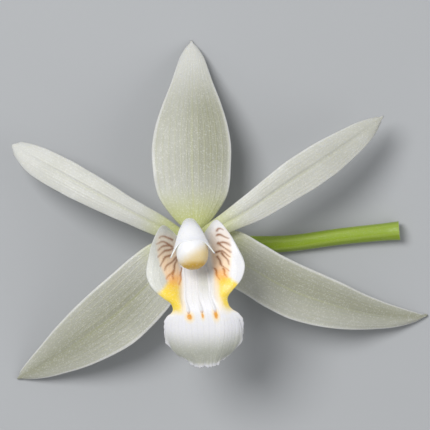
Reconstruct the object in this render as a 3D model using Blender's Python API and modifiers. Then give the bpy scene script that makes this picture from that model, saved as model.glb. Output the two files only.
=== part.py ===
"""One coelogyne orchid flower, as picked, lying face up on the curved stalk behind it.

The model is in metres, +Z up. The surface that the flower lies on is z = 0, +Y points to the tip of
the dorsal sepal, and +Z is the way the flower faces. The origin is under the middle of the flower's box.
"""

import math

import bmesh
import bpy
import numpy as np
from mathutils import Matrix, Vector

MM = 0.001

# Driving dimensions, in millimetres.
SPREAD = 45.0  # left petal's tip to right lateral sepal's tip, seen from the front
HEART_HEIGHT = 6.5  # level of the sepals' feet above the surface
SHEET = 0.5  # thickness of a sepal or petal
LIP_SHEET = 0.45  # thickness of the lip
HEART = (-2.8, -3.04)  # the flower's centre, from the middle of its box
LIP_TURN = math.radians(6.0)  # the lip and column lean this much to the flower's left

# The outlines below are in millimetres for a flower of this spread.
DRAWN_SPREAD = 45.0
SCALE = MM * SPREAD / DRAWN_SPREAD

# A sepal or petal: its foot and tip from the heart, its half-width and the sideways bow of its middle
# line at shares of its length, the rise of its middle line above the sepals' feet, and how far its sides
# curl up for each millimetre of half-width.
TEPALS = {
    "dorsal_sepal": {
        "foot": (0.0, 0.75),
        "tip": (-0.3, 21.4),
        "half_width": [(0.0, 0.75), (0.08, 2.3), (0.19, 3.7), (0.33, 4.15), (0.46, 4.2), (0.6, 3.6),
                       (0.79, 2.3), (0.92, 1.1), (1.0, 0.12)],
        "bow": [(0.0, 0.0), (0.4, 0.15), (0.8, 0.0), (1.0, 0.0)],
        "rise": [(0.0, 0.0), (0.3, 0.1), (0.6, -1.3), (0.85, -4.2), (1.0, -6.29)],
        "cup": -0.05,
    },
    "lateral_sepal_left": {
        "foot": (-0.65, -0.5),
        "tip": (-19.2, -15.3),
        "half_width": [(0.0, 0.75), (0.12, 2.6), (0.23, 3.22), (0.36, 3.45), (0.48, 3.47), (0.59, 3.2),
                       (0.72, 2.6), (0.88, 1.36), (0.96, 0.55), (1.0, 0.12)],
        "bow": [(0.0, 0.0), (0.12, 0.35), (0.23, 0.72), (0.36, 1.08), (0.48, 1.22), (0.6, 1.12),
                (0.72, 0.95), (0.88, 0.55), (1.0, 0.0)],
        "rise": [(0.0, 0.0), (0.3, -0.1), (0.6, -1.7), (0.85, -4.6), (1.0, -6.27)],
        "cup": 0.12,
    },
    "lateral_sepal_right": {
        "foot": (0.75, -0.5),
        "tip": (25.3, -8.45),
        "half_width": [(0.0, 0.75), (0.12, 2.6), (0.24, 2.78), (0.34, 2.83), (0.46, 2.83), (0.6, 2.5),
                       (0.74, 1.87), (0.87, 1.2), (0.97, 0.3), (1.0, 0.1)],
        "bow": [(0.0, 0.0), (0.14, -0.4), (0.24, -0.93), (0.34, -1.54), (0.46, -1.94), (0.6, -2.0),
                (0.74, -1.83), (0.87, -1.28), (0.97, -0.5), (1.0, 0.0)],
        "rise": [(0.0, 0.0), (0.3, -0.2), (0.6, -1.9), (0.85, -4.7), (1.0, -6.265)],
        "cup": 0.12,
    },
    "petal_left": {
        "foot": (-1.6, 0.25),
        "tip": (-19.6, 10.0),
        "half_width": [(0.0, 0.7), (0.12, 1.1), (0.29, 1.3), (0.46, 1.6), (0.65, 1.75), (0.87, 1.4),
                       (0.97, 0.75), (1.0, 0.25)],
        "bow": [(0.0, 0.0), (0.3, 0.2), (0.65, 0.22), (0.87, 0.22), (1.0, 0.0)],
        "rise": [(0.0, 0.9), (0.3, 1.7), (0.6, 1.1), (0.85, -0.9), (1.0, -2.5)],
        "cup": -0.04,
    },
    "petal_right": {
        "foot": (1.0, 0.25),
        "tip": (20.4, 13.1),
        "half_width": [(0.0, 0.7), (0.14, 1.1), (0.26, 1.5), (0.39, 1.78), (0.54, 1.98), (0.68, 1.9),
                       (0.79, 1.58), (0.9, 1.05), (1.0, 0.1)],
        "bow": [(0.0, 0.0), (0.17, -0.3), (0.26, -0.42), (0.45, -0.32), (0.68, -0.34), (0.9, -0.2),
                (1.0, 0.0)],
        "rise": [(0.0, 0.9), (0.3, 1.8), (0.6, 1.4), (0.85, -0.5), (1.0, -1.9)],
        "cup": 0.05,
    },
}

# The lip, in its own turned frame: x across, y up the flower, rise above the sepals' feet.
LIP_HEART = (-0.38, 0.86)  # the lip frame's origin, from the heart
LIP_FLOOR_Y = [(0.0, -1.5), (0.2, -2.3), (0.4, -3.8), (0.55, -5.4), (0.68, -7.2), (0.78, -9.0),
               (0.9, -12.0), (1.0, -14.7)]
LIP_FLOOR_RISE = [(0.0, 1.45), (0.2, 3.4), (0.4, 5.6), (0.55, 7.0), (0.68, 7.9), (0.78, 8.3),
                  (0.9, 7.4), (1.0, 5.6)]
LIP_FLOOR_HALF = [(0.0, 0.55), (0.2, 1.1), (0.4, 1.5), (0.6, 1.7), (0.73, 1.8), (0.85, 1.9), (1.0, 1.3)]
LIP_EDGE_X = [(0.0, 1.0), (0.12, 2.0), (0.25, 2.95), (0.35, 4.0), (0.45, 4.75), (0.53, 5.2), (0.6, 4.8),
              (0.66, 3.8), (0.71, 3.05), (0.76, 3.1), (0.83, 4.0), (0.89, 4.25), (0.95, 3.7), (1.0, 2.5)]
LIP_EDGE_Y = [(0.0, -1.2), (0.12, 0.1), (0.25, 0.74), (0.35, -0.7), (0.45, -2.5), (0.53, -4.2),
              (0.6, -5.7), (0.66, -6.8), (0.71, -7.5), (0.76, -8.4), (0.83, -9.8), (0.89, -11.4),
              (0.95, -12.8), (1.0, -13.9)]
LIP_EDGE_RISE = [(0.0, 1.7), (0.12, 3.4), (0.25, 5.4), (0.35, 6.9), (0.45, 7.8), (0.53, 8.1), (0.6, 8.3),
                 (0.68, 8.4), (0.76, 8.1), (0.83, 7.5), (0.92, 6.4), (1.0, 5.3)]
LIP_WALL_BULGE = [(0.0, 0.2), (0.3, 1.1), (0.6, 1.0), (0.74, 0.2), (1.0, 0.25)]
FLOOR_SHARE = 0.34  # share of the half-width grid that is channel floor
WALL_KNEE = 0.4  # how far out from the floor to the edge the lip's wall bends

# The column's middle line in the lip frame: y up the flower and rise, with its radius.
COLUMN_LINE = [(0.0, -0.45, 0.95, 0.62), (0.25, 0.25, 3.2, 0.62), (0.5, 0.62, 5.6, 0.72),
               (0.75, 0.3, 7.9, 1.15), (0.9, -0.5, 9.2, 1.75), (1.0, -1.3, 9.9, 1.9)]
ANTHER_AT = (0.03, -2.45, 9.9)
ANTHER_SIZE = (1.55, 1.5, 1.35)
SEAT_GAP = 0.3
CAP_WALL = 0.3
CAP_OPENING = 0.35  # the cap is cut open this far past its middle, on the column's side

POLLINIA_SIZE = (0.3, 0.3, 0.5)
POLLINIA_STEP = 0.36

# The ovary and stalk: x and y from the heart, height above the surface, radius.
STALK_LINE = [(0.0, 0.0, 0.0, 5.9, 1.2), (0.06, 0.15, -0.1, 4.4, 1.15), (0.14, 1.2, -0.35, 2.75, 1.1),
              (0.23, 3.2, -0.6, 1.6, 1.02), (0.35, 6.0, -0.75, 1.12, 0.94), (0.53, 10.4, -0.6, 0.92, 0.88),
              (0.75, 16.0, 0.15, 0.92, 0.89), (0.94, 20.8, 0.65, 0.97, 0.94), (1.0, 22.3, 0.78, 1.05, 1.02)]

# Cells of the sheets across and along, steps along the tubes, facets round and up the balls.
TEPAL_CELLS = (8, 16)
LIP_CELLS = (20, 26)
COLUMN_STEPS = 12
STALK_STEPS = 29
TUBE_BEVEL = 3
SEAT_FACETS = (16, 10)
CAP_FACETS = (14, 10)
POLLEN_FACETS = (8, 6)
WELD = 0.005  # points closer than this are one

WHITE = (0.83, 0.84, 0.78, 1.0)
LIP_WHITE = (0.9, 0.9, 0.88, 1.0)
CREAM = (0.85, 0.68, 0.4, 1.0)
YELLOW = (0.85, 0.65, 0.15, 1.0)
GREEN = (0.42, 0.55, 0.13, 1.0)


def smooth(stations, share, column=1):
    """The value at a share of the length, on a smooth curve through the stations."""
    places = [station[0] for station in stations]
    values = [station[column] for station in stations]
    last = len(places) - 1
    slopes = []
    for i in range(last + 1):
        before, after = max(i - 1, 0), min(i + 1, last)
        slopes.append((values[after] - values[before]) / (places[after] - places[before]))
    i = min(max(int(np.searchsorted(places, share)) - 1, 0), last - 1)
    span = places[i + 1] - places[i]
    q = (share - places[i]) / span
    return (
        values[i] * (1 + 2 * q) * (1 - q) ** 2
        + slopes[i] * span * q * (1 - q) ** 2
        + values[i + 1] * (3 - 2 * q) * q * q
        + slopes[i + 1] * span * (q - 1) * q * q
    )


def even_shares(steps):
    return [step / steps for step in range(steps + 1)]


def clear_scene():
    for obj in list(bpy.data.objects):
        bpy.data.objects.remove(obj, do_unlink=True)


def new_collection(name):
    collection = bpy.data.collections.new(name)
    bpy.context.scene.collection.children.link(collection)
    return collection


def new_material(name, colour, roughness):
    material = bpy.data.materials.new(name)
    material.use_nodes = True
    shader = material.node_tree.nodes["Principled BSDF"]
    shader.inputs["Base Color"].default_value = colour
    shader.inputs["Roughness"].default_value = roughness
    shader.inputs["Metallic"].default_value = 0.0
    return material


def add_object(name, data, material, collection, heart):
    obj = bpy.data.objects.new(name, data)
    obj.data.materials.append(material)
    obj.parent = heart
    collection.objects.link(obj)
    return obj


def sheet_object(name, cells, place, thickness, material, collection, heart):
    """A grid bent into an open sheet by place(share, side), then thickened on both sides."""
    mesh = bpy.data.meshes.new(name)
    bm = bmesh.new()
    across, along = cells
    bmesh.ops.create_grid(bm, x_segments=across, y_segments=along, size=1.0)
    for vert in bm.verts:
        vert.co = place((vert.co.y + 1.0) / 2.0, vert.co.x)
    bm.to_mesh(mesh)
    bm.free()
    mesh.shade_smooth()
    obj = add_object(name, mesh, material, collection, heart)
    wall = obj.modifiers.new("thickness", "SOLIDIFY")
    wall.thickness = thickness * SCALE
    wall.offset = 0.0
    return obj


def tepal_place(tepal):
    """The map from (share of length, side -1 to 1) to a point of a sepal or petal."""
    foot, tip = Vector(tepal["foot"]), Vector(tepal["tip"])
    axis = tip - foot
    side_way = Vector((-axis.y, axis.x)).normalized()

    def place(share, side):
        half = smooth(tepal["half_width"], share)
        middle = foot + axis * share + side_way * smooth(tepal["bow"], share)
        flat = middle + side_way * (side * half)
        fade = math.sin(math.pi * min(max(share, 0.0), 1.0))
        height = HEART_HEIGHT + smooth(tepal["rise"], share) + tepal["cup"] * half * side * side * fade
        return Vector((flat.x, flat.y, height)) * SCALE

    return place


def from_lip_frame(x, y, rise):
    """A point of the lip's turned frame, from the heart and above the surface."""
    turned = Matrix.Rotation(LIP_TURN, 2) @ Vector((x, y))
    return Vector((turned.x + LIP_HEART[0], turned.y + LIP_HEART[1], rise + HEART_HEIGHT)) * SCALE


def lip_place(share, side):
    """The lip: a channel floor whose walls rise into the side lobes, then a flat middle lobe."""
    sign = -1.0 if side < 0 else 1.0
    reach = abs(side)
    floor_half = smooth(LIP_FLOOR_HALF, share)
    floor = Vector((floor_half, smooth(LIP_FLOOR_Y, share), smooth(LIP_FLOOR_RISE, share)))
    if reach <= FLOOR_SHARE:
        x = floor_half * reach / FLOOR_SHARE
        return from_lip_frame(sign * x, floor.y, floor.z)
    edge = Vector((smooth(LIP_EDGE_X, share), smooth(LIP_EDGE_Y, share), smooth(LIP_EDGE_RISE, share)))
    knee = floor.lerp(edge, WALL_KNEE)
    knee.z += smooth(LIP_WALL_BULGE, share)
    q = (reach - FLOOR_SHARE) / (1.0 - FLOOR_SHARE)
    point = floor * (1 - q) ** 2 + knee * (2 * q * (1 - q)) + edge * q * q
    return from_lip_frame(sign * point.x, point.y, point.z)


def tube_object(name, points, radii, material, collection, heart):
    """A tube with flat ends along the points, as thick as the radii say."""
    curve = bpy.data.curves.new(name, "CURVE")
    curve.dimensions = "3D"
    curve.bevel_depth = 1.0
    curve.bevel_resolution = TUBE_BEVEL
    curve.use_fill_caps = True
    spline = curve.splines.new("POLY")
    spline.points.add(len(points) - 1)
    for control, point, radius in zip(spline.points, points, radii):
        control.co = (*point, 1.0)
        control.radius = radius
    return add_object(name, curve, material, collection, heart)


def as_mesh(obj):
    """The evaluated object as a plain mesh object of the same name, with its caps welded on."""
    bpy.context.view_layer.update()
    graph = bpy.context.evaluated_depsgraph_get()
    mesh = bpy.data.meshes.new_from_object(obj.evaluated_get(graph))
    bm = bmesh.new()
    bm.from_mesh(mesh)
    bmesh.ops.remove_doubles(bm, verts=bm.verts, dist=WELD * MM)
    bmesh.ops.recalc_face_normals(bm, faces=bm.faces)
    bm.to_mesh(mesh)
    bm.free()
    name, parent, collection = obj.name, obj.parent, obj.users_collection[0]
    bpy.data.objects.remove(obj, do_unlink=True)
    made = bpy.data.objects.new(name, mesh)
    made.parent = parent
    collection.objects.link(made)
    return made


def ball_mesh(name, centre, size, facets):
    """An ellipsoid in the lip frame."""
    mesh = bpy.data.meshes.new(name)
    bm = bmesh.new()
    bmesh.ops.create_uvsphere(bm, u_segments=facets[0], v_segments=facets[1], radius=1.0)
    for vert in bm.verts:
        x, y, z = (c + v * s for c, v, s in zip(centre, vert.co, size))
        vert.co = from_lip_frame(x, y, z)
    bm.to_mesh(mesh)
    bm.free()
    mesh.shade_smooth()
    return mesh


def add_tepals(materials, collection, heart):
    for name, tepal in TEPALS.items():
        sheet_object(name, TEPAL_CELLS, tepal_place(tepal), SHEET, materials["tepal"], collection, heart)


def add_lip(materials, collection, heart):
    sheet_object("lip", LIP_CELLS, lip_place, LIP_SHEET, materials["lip"], collection, heart)


def add_column(materials, collection, cutters, heart):
    """The column: a slender arched stalk that widens to a hood, hollowed for the anther cap."""
    shares = even_shares(COLUMN_STEPS)
    points = [from_lip_frame(0.0, smooth(COLUMN_LINE, s, 1), smooth(COLUMN_LINE, s, 2)) for s in shares]
    radii = [smooth(COLUMN_LINE, s, 3) * SCALE for s in shares]
    column = as_mesh(tube_object("column", points, radii, materials["lip"], collection, heart))
    seat = tuple(s + SEAT_GAP for s in ANTHER_SIZE)
    cutter = bpy.data.objects.new("anther_seat", ball_mesh("anther_seat", ANTHER_AT, seat, SEAT_FACETS))
    cutter.parent = heart
    cutter.hide_render = True
    cutter.display_type = "WIRE"
    cutters.objects.link(cutter)
    hollow = column.modifiers.new("anther seat", "BOOLEAN")
    hollow.operation = "DIFFERENCE"
    hollow.object = cutter


def add_anther_cap(materials, collection, heart):
    """The cap over the pollen: a thin dome, open towards the column."""
    mesh = ball_mesh("anther_cap", ANTHER_AT, ANTHER_SIZE, CAP_FACETS)
    centre = from_lip_frame(*ANTHER_AT)
    _, column_y, column_rise, _ = COLUMN_LINE[-2]
    toward_column = (from_lip_frame(0.0, column_y, column_rise) - centre).normalized()
    bm = bmesh.new()
    bm.from_mesh(mesh)
    hidden = [v for v in bm.verts if (v.co - centre).dot(toward_column) > CAP_OPENING * SCALE]
    bmesh.ops.delete(bm, geom=hidden, context="VERTS")
    bm.to_mesh(mesh)
    bm.free()
    cap = add_object("anther_cap", mesh, materials["anther"], collection, heart)
    wall = cap.modifiers.new("thickness", "SOLIDIFY")
    wall.thickness = CAP_WALL * SCALE
    wall.offset = -1.0


def add_pollinia(materials, collection, heart):
    """Four waxy pollen masses side by side under the cap."""
    for row, up in (("upper", 1.0), ("lower", -1.0)):
        for side, across in (("left", -1.0), ("right", 1.0)):
            x, y, rise = ANTHER_AT
            centre = (x + across * POLLINIA_STEP, y + up * POLLINIA_STEP, rise)
            name = f"pollinium_{row}_{side}"
            mesh = ball_mesh(name, centre, POLLINIA_SIZE, POLLEN_FACETS)
            add_object(name, mesh, materials["pollen"], collection, heart)


def add_stalk(materials, collection, heart):
    """The ovary and the stalk that it narrows to: one piece, curved down to the surface."""
    shares = even_shares(STALK_STEPS)
    points = [Vector([smooth(STALK_LINE, s, axis) for axis in (1, 2, 3)]) * SCALE for s in shares]
    radii = [smooth(STALK_LINE, s, 4) * SCALE for s in shares]
    tube_object("ovary_and_pedicel", points, radii, materials["stalk"], collection, heart)


def main():
    clear_scene()
    flower = new_collection("coelogyne_flower")
    cutters = new_collection("cutters")
    heart = bpy.data.objects.new("heart", None)
    heart.location = (HEART[0] * SCALE, HEART[1] * SCALE, 0.0)
    flower.objects.link(heart)
    materials = {
        "tepal": new_material("tepal_white", WHITE, 0.5),
        "lip": new_material("lip_white", LIP_WHITE, 0.45),
        "anther": new_material("anther_cream", CREAM, 0.4),
        "pollen": new_material("pollen_yellow", YELLOW, 0.4),
        "stalk": new_material("stalk_green", GREEN, 0.5),
    }
    add_stalk(materials, flower, heart)
    add_tepals(materials, flower, heart)
    add_lip(materials, flower, heart)
    add_column(materials, flower, cutters, heart)
    add_anther_cap(materials, flower, heart)
    add_pollinia(materials, flower, heart)


main()
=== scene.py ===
"""The looks of one coelogyne orchid flower, picked and lying face up on its curved stalk.

Each piece is built as a fine closed mesh in the place of its plain solid: five sepals and petals, the
marked lip with its keels, the hooded column, the anther cap over four pollen masses, and the ribbed ovary
with its stalk. The floor, lights and camera stand apart from the flower.
"""

import math
from contextlib import contextmanager

import bmesh
import bpy
import numpy as np
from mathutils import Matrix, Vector


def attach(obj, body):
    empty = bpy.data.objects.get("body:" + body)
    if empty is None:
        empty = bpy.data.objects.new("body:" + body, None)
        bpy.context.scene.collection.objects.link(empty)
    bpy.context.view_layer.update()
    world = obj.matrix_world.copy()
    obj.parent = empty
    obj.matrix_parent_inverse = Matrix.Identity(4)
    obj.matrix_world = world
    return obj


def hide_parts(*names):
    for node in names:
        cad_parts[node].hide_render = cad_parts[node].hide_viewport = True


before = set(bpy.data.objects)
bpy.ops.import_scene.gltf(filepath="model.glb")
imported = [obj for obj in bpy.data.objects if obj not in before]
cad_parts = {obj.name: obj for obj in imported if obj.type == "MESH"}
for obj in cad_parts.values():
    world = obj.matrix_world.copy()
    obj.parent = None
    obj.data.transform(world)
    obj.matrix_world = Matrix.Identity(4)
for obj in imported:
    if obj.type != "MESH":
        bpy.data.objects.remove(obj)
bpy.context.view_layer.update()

bl_info = {
    "name": "Coelogyne Flower",
    "version": (1, 0, 0),
    "blender": (4, 5, 0),
    "location": "View3D > Sidebar > Orchid",
    "description": "Builds one coelogyne orchid flower piece by piece, with its stage",
    "category": "Add Mesh",
}

BODY = "root"
MM = 0.001

# A sepal or petal, in millimetres: its foot and tip from the heart, its half-width and the sideways bow
# of its middle line at shares of its length, the rise of its middle line above the sepals' feet, and how
# far its sides curl up for each millimetre of half-width. The groove is the furrow over its midrib, and
# the ripple is how far its margins wave up and down. The last three set its painted shade: how strongly it
# is greyed, most round the side given next, where -1 is its right margin and 1 its left one, and not at all
# past the share of its length given last. The dorsal sepal's lies on its right side, away from the key
# light.
TEPALS = {
    "dorsal_sepal": {
        "foot": (0.0, 0.75), "tip": (-0.3, 21.4),
        "half_width": [(0.0, 0.75), (0.08, 2.3), (0.19, 3.7), (0.33, 4.15), (0.46, 4.2), (0.6, 3.6),
                       (0.79, 2.17), (0.874, 1.6), (0.918, 1.27), (0.961, 0.76), (0.983, 0.4), (1.0, 0.05)],
        "bow": [(0.0, 0.0), (0.4, 0.15), (0.8, 0.0), (1.0, 0.0)],
        "rise": [(0.0, 0.0), (0.3, 0.1), (0.6, -1.3), (0.85, -4.2), (1.0, -6.29)],
        "cup": -0.05, "groove": 0.03, "ripple": 0.12, "painted_shade": 1.0, "painted_shade_side": -0.45, "painted_shade_end": 0.95,
    },
    "lateral_sepal_left": {
        "foot": (-0.65, -0.5), "tip": (-19.2, -15.3),
        "half_width": [(0.0, 0.75), (0.12, 2.6), (0.23, 3.22), (0.36, 3.45), (0.48, 3.47), (0.59, 3.2),
                       (0.72, 2.6), (0.848, 1.7), (0.909, 1.2), (0.954, 0.74), (0.985, 0.36), (1.0, 0.1)],
        "bow": [(0.0, 0.0), (0.12, 0.35), (0.23, 0.72), (0.36, 1.08), (0.48, 1.22), (0.6, 1.12),
                (0.72, 0.95), (0.88, 0.55), (1.0, 0.0)],
        "rise": [(0.0, 0.0), (0.3, -0.1), (0.6, -1.7), (0.85, -4.6), (1.0, -6.27)],
        "cup": 0.12, "groove": 0.06, "ripple": 0.1, "painted_shade": 1.0, "painted_shade_side": 0.0, "painted_shade_end": 1.4,
    },
    "lateral_sepal_right": {
        "foot": (0.75, -0.5), "tip": (25.3, -8.45),
        "half_width": [(0.0, 0.75), (0.12, 2.6), (0.24, 2.78), (0.34, 2.83), (0.46, 2.83), (0.6, 2.5),
                       (0.74, 1.87), (0.816, 1.46), (0.88, 1.1), (0.934, 0.72), (0.983, 0.27), (1.0, 0.05)],
        "bow": [(0.0, 0.0), (0.14, -0.4), (0.24, -0.93), (0.34, -1.54), (0.46, -1.94), (0.6, -2.0),
                (0.74, -1.83), (0.87, -1.28), (0.97, -0.5), (1.0, 0.0)],
        "rise": [(0.0, 0.0), (0.3, -0.2), (0.6, -1.9), (0.85, -4.7), (1.0, -6.265)],
        "cup": 0.12, "groove": 0.06, "ripple": 0.1, "painted_shade": 1.0, "painted_shade_side": 0.3, "painted_shade_end": 1.4,
    },
    "petal_left": {
        "foot": (-1.6, 0.25), "tip": (-19.6, 10.0),
        "half_width": [(0.0, 0.7), (0.12, 1.1), (0.29, 1.3), (0.46, 1.6), (0.65, 1.75), (0.83, 1.62),
                       (0.895, 1.38), (0.958, 0.92), (0.985, 0.64), (1.0, 0.4)],
        "bow": [(0.0, 0.0), (0.3, 0.2), (0.65, 0.22), (0.87, 0.22), (1.0, 0.0)],
        "rise": [(0.0, 0.9), (0.3, 1.7), (0.6, 1.1), (0.85, -0.9), (1.0, -2.5)],
        "cup": -0.04, "groove": 0.12, "ripple": 0.08, "painted_shade": 0.2, "painted_shade_side": 0.0, "painted_shade_end": 1.05,
    },
    "petal_right": {
        "foot": (1.0, 0.25), "tip": (20.4, 13.1),
        "half_width": [(0.0, 0.7), (0.14, 1.1), (0.26, 1.5), (0.39, 1.78), (0.54, 1.98), (0.68, 1.9),
                       (0.79, 1.58), (0.86, 1.32), (0.914, 0.98), (0.957, 0.58), (1.0, 0.05)],
        "bow": [(0.0, 0.0), (0.17, -0.3), (0.26, -0.42), (0.45, -0.32), (0.68, -0.34), (0.9, -0.2),
                (1.0, 0.0)],
        "rise": [(0.0, 0.9), (0.3, 1.8), (0.6, 1.4), (0.85, -0.5), (1.0, -1.9)],
        "cup": 0.05, "groove": 0.12, "ripple": 0.08, "painted_shade": 0.45, "painted_shade_side": 0.0, "painted_shade_end": 1.4,
    },
}

# The lip, in millimetres in its own turned frame: x across, y up the flower, rise above the sepals' feet.
LIP_FLOOR_Y = [(0.0, -1.5), (0.2, -2.3), (0.4, -3.8), (0.55, -5.4), (0.68, -7.2), (0.78, -9.0),
               (0.9, -12.0), (1.0, -14.6)]
LIP_FLOOR_RISE = [(0.0, 1.45), (0.2, 3.4), (0.4, 5.6), (0.55, 7.0), (0.68, 7.9), (0.78, 8.3),
                  (0.9, 7.4), (1.0, 5.6)]
LIP_FLOOR_HALF = [(0.0, 0.55), (0.2, 1.1), (0.4, 1.5), (0.6, 1.7), (0.73, 1.8), (0.85, 1.9), (1.0, 1.0)]
LIP_EDGE_X = [(0.0, 1.0), (0.12, 2.0), (0.25, 2.95), (0.35, 4.0), (0.45, 4.75), (0.53, 5.2), (0.6, 4.7),
              (0.66, 3.65), (0.71, 3.0), (0.745, 2.93), (0.768, 3.2), (0.79, 3.75), (0.83, 4.13),
              (0.89, 4.14), (0.95, 3.6), (1.0, 2.3)]
LIP_EDGE_Y = [(0.0, -1.2), (0.12, 0.1), (0.25, 0.74), (0.35, -0.7), (0.45, -2.5), (0.53, -4.2),
              (0.6, -5.7), (0.66, -6.8), (0.71, -7.5), (0.76, -8.5), (0.83, -9.8), (0.89, -11.2),
              (0.95, -12.5), (1.0, -13.55)]
LIP_EDGE_RISE = [(0.0, 1.7), (0.12, 3.4), (0.25, 5.4), (0.35, 6.9), (0.45, 7.8), (0.53, 8.1), (0.6, 8.3),
                 (0.68, 8.4), (0.76, 8.1), (0.83, 7.5), (0.92, 6.4), (1.0, 5.3)]
LIP_WALL_BULGE = [(0.0, 0.2), (0.3, 1.1), (0.6, 1.0), (0.74, 0.2), (1.0, 0.25)]
LIP_FLOOR = (LIP_FLOOR_HALF, LIP_FLOOR_Y, LIP_FLOOR_RISE)
LIP_EDGE = (LIP_EDGE_X, LIP_EDGE_Y, LIP_EDGE_RISE)
FLOOR_SHARE = 0.34  # share of the half-width grid that is channel floor
WALL_KNEE = 0.4  # how far out from the floor to the edge the lip's wall bends
MIDDLE_LOBE = (0.66, 0.82)  # the lip turns into its middle lobe between these shares
MIDDLE_LOBE_TURN = math.radians(-3.4)
MIDDLE_LOBE_SHIFT = 0.5
MIDDLE_LOBE_NECK = -8.0
SIDE_LOBES = (0.55, 0.15)  # share of the lip at their middle, and the share that they reach from there
SIDE_LOBES_SHIFT = 0.14

# A vein of a side lobe is an arc: x and y of its inner and outer ends, then its bow towards the top.
VEINS_LEFT = [
    (2.2, -0.9, 3.35, -0.5, 0.26), (2.2, -1.6, 3.8, -1.05, 0.28), (2.5, -1.35, 3.7, -1.75, 0.06),
    (2.2, -1.8, 3.75, -2.45, 0.16), (2.3, -2.4, 3.65, -3.4, 0.22), (1.85, -2.8, 3.35, -4.0, 0.14),
    (2.0, -3.1, 3.25, -4.95, -0.16), (2.45, -4.1, 2.6, -4.95, 0.0), (1.55, -4.0, 1.95, -5.7, 0.0),
]
VEINS_RIGHT = [
    (2.85, -0.4, 3.45, -0.3, 0.12), (2.9, -0.85, 3.95, -1.3, 0.1), (3.0, -1.8, 4.1, -2.1, 0.26),
    (2.85, -1.7, 4.0, -2.8, 0.0), (2.55, -2.6, 3.85, -3.2, 0.2), (3.1, -2.8, 3.7, -4.0, 0.05),
    (2.7, -3.1, 3.5, -4.7, -0.2), (2.2, -4.4, 2.45, -5.5, 0.0), (3.0, -4.5, 3.25, -5.4, 0.0),
]

# An orange mark where a keel ends, from the middle lobe's line: x, y, half-width and half-length.
MARKS = [(-1.4, -9.15, 0.28, 0.34), (0.0, -9.1, 0.12, 0.28), (1.4, -9.1, 0.22, 0.42)]
KEEL_SIDES = (-0.76, 0.0, 0.76)  # places of the keels across the channel floor's half-width
KEEL_SPAN = (0.3, 0.778)  # shares of the lip's length between which they run
KEEL_SHADE = 0.15  # how far a keel is tinted towards the lip's shade
KEEL_SUNK = 0.83  # share of a keel's half-width that lies in the lip

# The column's middle line in the lip's frame at shares of its length: y, rise, half-width, depth behind
# the line and depth in front of it.
COLUMN_LINE = [(0.0, -0.45, 0.4, 0.8, 0.7, 0.7), (0.25, 0.25, 3.0, 0.7, 0.62, 0.55),
               (0.5, 0.62, 5.5, 0.76, 0.66, 0.45), (0.7, 0.4, 7.3, 0.88, 0.8, 0.3),
               (0.85, -0.2, 8.8, 1.22, 1.0, 0.1), (1.0, -1.5, 9.6, 1.74, 1.15, 0.0)]
ANTHER_AT = (0.0, -2.25, 9.65)
ANTHER_SIZE = (1.7, 1.85, 1.27)
POLLEN_SIZE = (0.3, 0.3, 0.5)
POLLEN_CORNERS = {
    "upper_left": (-1, 1), "upper_right": (1, 1), "lower_left": (-1, -1), "lower_right": (1, -1)}
POLLEN_STEP = 0.36
POLLEN_DROP = 0.1

# The ovary and stalk, in millimetres: x and y from the heart, height above the surface, radius, and how
# strong its ribs are.
STALK_LINE = [(0.0, 0.0, 0.1, 7.0, 0.6, 0.0), (0.02, 0.0, 0.05, 6.5, 1.1, 0.2),
              (0.045, 0.0, 0.0, 5.9, 1.2, 0.7), (0.1, 0.15, -0.1, 4.4, 1.15, 1.0),
              (0.18, 1.2, -0.35, 2.75, 1.1, 1.0), (0.265, 3.2, -0.6, 1.6, 1.02, 0.9),
              (0.38, 6.0, -0.75, 1.12, 0.94, 0.5), (0.55, 10.4, -0.6, 0.93, 0.88, 0.25),
              (0.76, 16.0, 0.15, 0.93, 0.89, 0.2), (0.94, 20.8, 0.65, 0.98, 0.94, 0.2),
              (1.0, 22.3, 0.78, 1.07, 1.02, 0.2)]

# Grid rows and columns of the sheets, rings and facets of the column, facets round and up the balls.
TEPAL_GRID = (190, 49)
LIP_GRID = (230, 151)
COLUMN_GRID = (90, 36)
CAP_FACETS = (96, 64)
POLLEN_FACETS = (32, 20)
KEEL_POINTS = 90
KEEL_FACETS = 14
STALK_POINTS = 220
STALK_FACETS = 96
VEIN_POINTS = 16
SHORTEST = 1e-12  # no vector is divided by less than this length

# Lengths of the fine relief are in millimetres. A pair with run or rim in its name says where something
# starts and where it is full, in shares of the length or of the way out to the margin. A wave is its seed,
# then how many times each of its parts swings.
TEPAL_SEAT = 0.25  # a sepal's or petal's underside lies this far under its middle surface
ROUND_TIP_RUN = (0.985, 1.0)  # over this run a blunt tip is rounded
MIDRIB_HALF = 0.22  # half-width of the furrow over a midrib and of the ridge under it
GROOVE_RUN = (1.0, 0.75)
RIDGE = 0.14
RIDGE_RUN = (0.9, 0.4)
VEINS_A_SIDE = 5
VEIN_RELIEF = 0.012
PAINTED_SHADE_LEAST = 0.6  # share of the painted shade that is left far from its side, and again at the foot
PAINTED_SHADE_HALF = 0.65
PAINTED_SHADE_FOOT_RUN = (0.1, 0.4)
PAINTED_SHADE_FADE = 0.35
PAINTED_SHADE_RIM = (1.0, 0.9)

LIP_BLUR_ROUNDS = 14  # how often the lip is smoothed across
FAN_VEINS = 12  # veins on each half of the lip's middle lobe
FAN_RELIEF = 0.004
FAN_RUN = (0.78, 0.88)
THIN_RUN = (0.9, 1.0)  # over this run the middle lobe thins to its margin
LOBE_RUN = (0.78, 0.86)
LOBE_END_RUN = (0.94, 1.0)
RUFFLE_RIM = (0.72, 1.0)
RUFFLE_TURNS = (0.5, 2.0)  # how far the ruffles run along the lobe's end, and down its sides
RUFFLE_OUT = 0.12
RUFFLE_OUT_WAVE = (13, (5.3, 8.6, 13.1, 19.7))
RUFFLE_UP = 0.11
RUFFLE_UP_WAVE = (11, (2.1, 3.3, 5.2))
FLARE_RIM = (0.6, 1.0)
FLARE_UP = 0.18
FLARE_WAVE = (12, (3.1, 5.3))

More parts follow.
